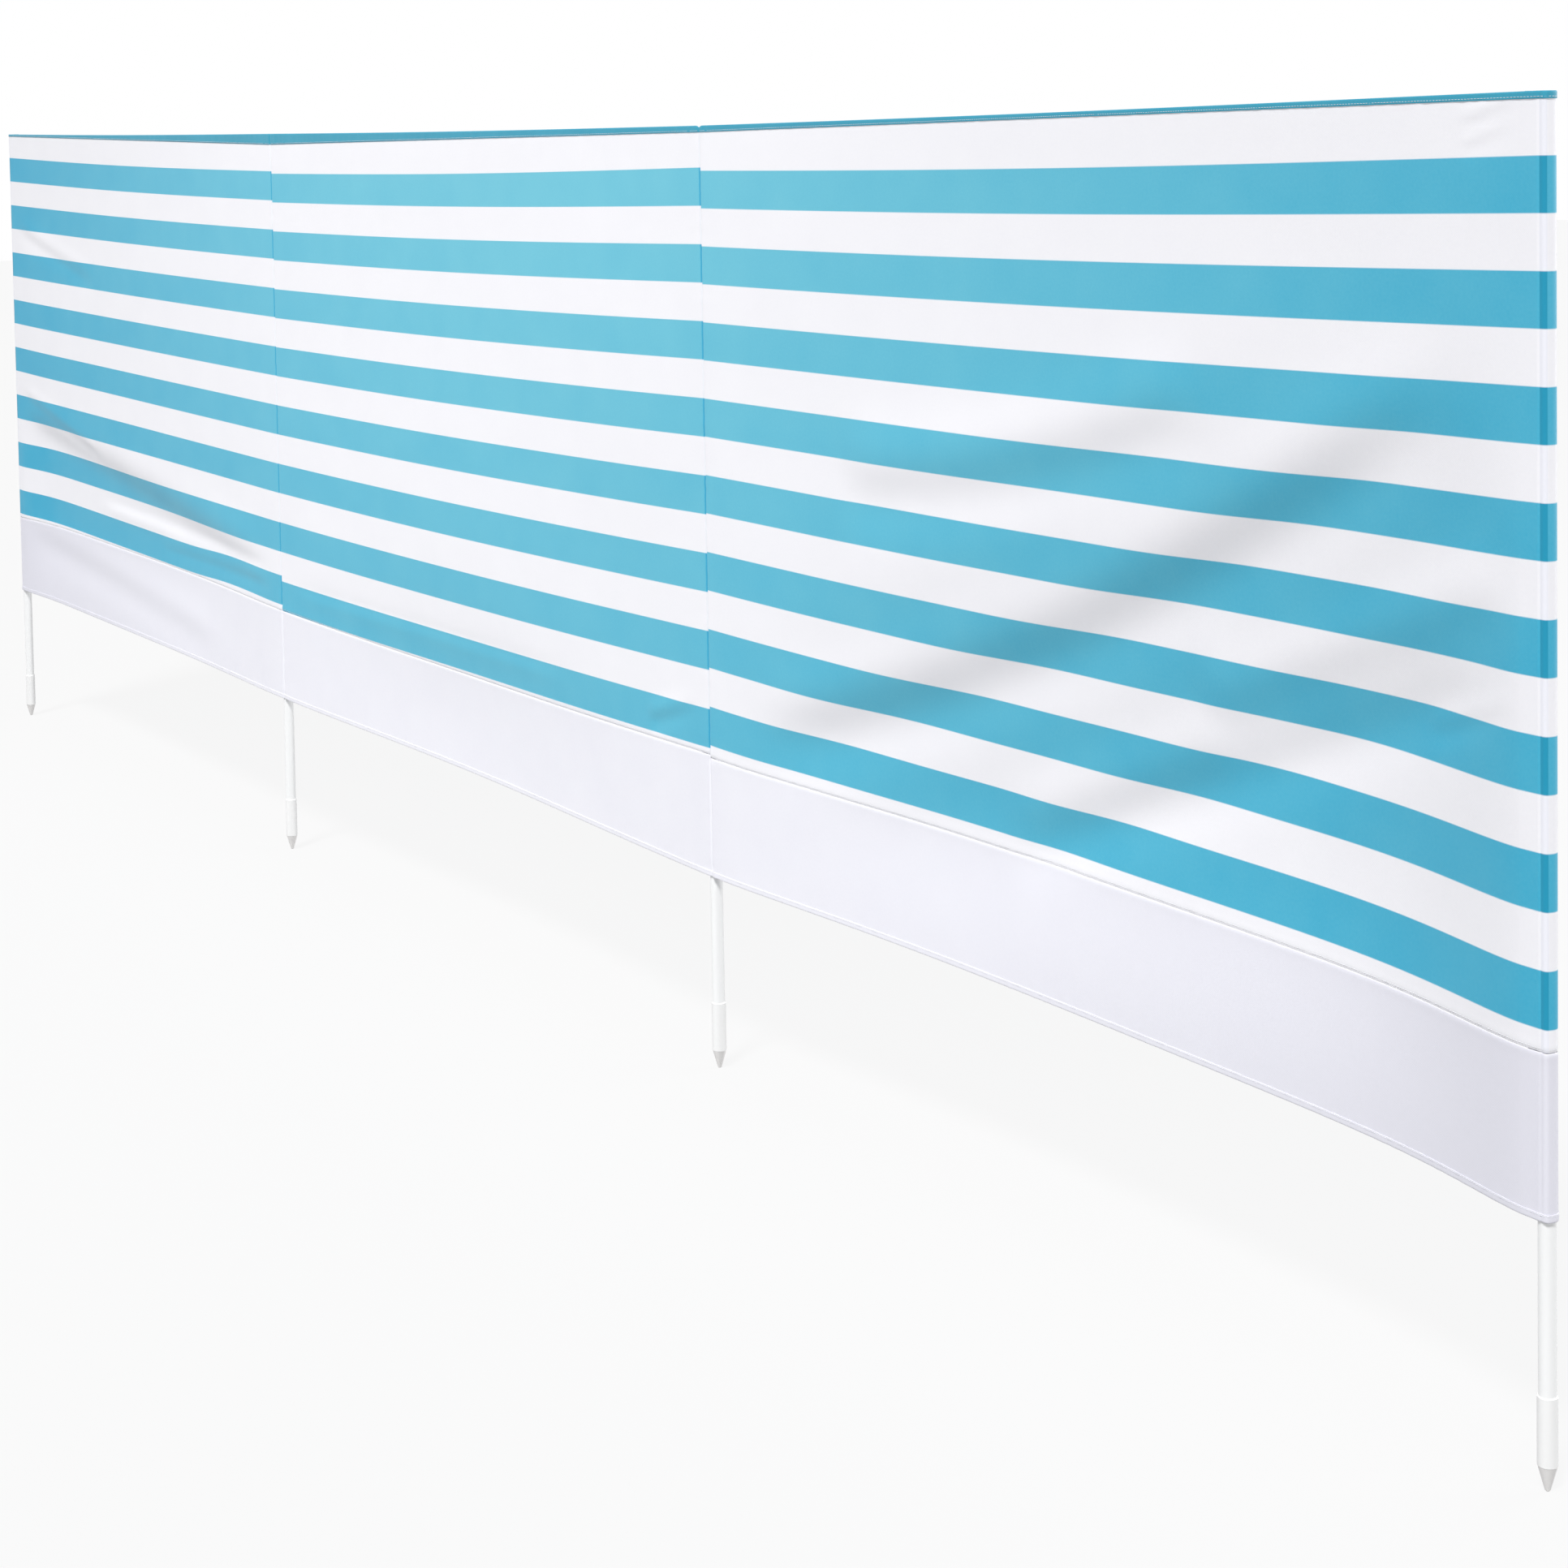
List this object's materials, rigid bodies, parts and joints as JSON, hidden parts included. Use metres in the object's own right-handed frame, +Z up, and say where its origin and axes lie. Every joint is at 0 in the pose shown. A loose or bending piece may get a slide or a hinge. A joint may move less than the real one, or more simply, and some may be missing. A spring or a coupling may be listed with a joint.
{
  "type": "beach windbreak",
  "caption": "Striped cloth windbreak in bays, with a plain skirt, held by slim poles in sewn pockets whose pointed feet push into the sand.",
  "frame": {"origin": "blunt end of the first pole's tip, on the pole's axis", "axes": "+X along the row from the first pole to the fourth, front of the cloth faces -Y, +Z up the poles"},
  "size_m": [4.9734, 0.0568, 1.515],
  "materials": {
    "striped_cloth": "plain-weave polyester with horizontal blue and white bands",
    "hem_cloth": "folded plain-weave hem, blue",
    "skirt_cloth": "plain-weave polyester, white",
    "pole_tube": "white coated steel tube",
    "foot_sleeve": "moulded white plastic",
    "foot_tip": "moulded pale grey plastic"
  },
  "bodies": {
    "bay_1": {"pole_1_tube": "pole_tube", "pole_1_sleeve": "foot_sleeve", "pole_1_tip": "foot_tip", "pole_2_tube": "pole_tube", "pole_2_sleeve": "foot_sleeve", "pole_2_tip": "foot_tip", "pocket_1": "striped_cloth", "skirt_pocket_1": "skirt_cloth", "pocket_2": "striped_cloth", "skirt_pocket_2": "skirt_cloth", "panel_1": "striped_cloth", "top_hem_1": "hem_cloth", "skirt_1": "skirt_cloth", "skirt_hem_1": "skirt_cloth"},
    "bay_2": {"pole_3_tube": "pole_tube", "pole_3_sleeve": "foot_sleeve", "pole_3_tip": "foot_tip", "pocket_3": "striped_cloth", "skirt_pocket_3": "skirt_cloth", "panel_2": "striped_cloth", "top_hem_2": "hem_cloth", "skirt_2": "skirt_cloth", "skirt_hem_2": "skirt_cloth"},
    "bay_3": {"pole_4_tube": "pole_tube", "pole_4_sleeve": "foot_sleeve", "pole_4_tip": "foot_tip", "pocket_4": "striped_cloth", "skirt_pocket_4": "skirt_cloth", "panel_3": "striped_cloth", "top_hem_3": "hem_cloth", "skirt_3": "skirt_cloth", "skirt_hem_3": "skirt_cloth"}
  },
  "joints": [
    {"name": "pole_2_hinge", "type": "hinge", "parent": "bay_1", "child": "bay_2", "pos_m": [1.65, 0, 0], "axis": [0, 0, 1], "range_deg": [-90, 90]},
    {"name": "pole_3_hinge", "type": "hinge", "parent": "bay_2", "child": "bay_3", "pos_m": [3.3, 0, 0], "axis": [0, 0, 1], "range_deg": [-90, 90]}
  ]
}
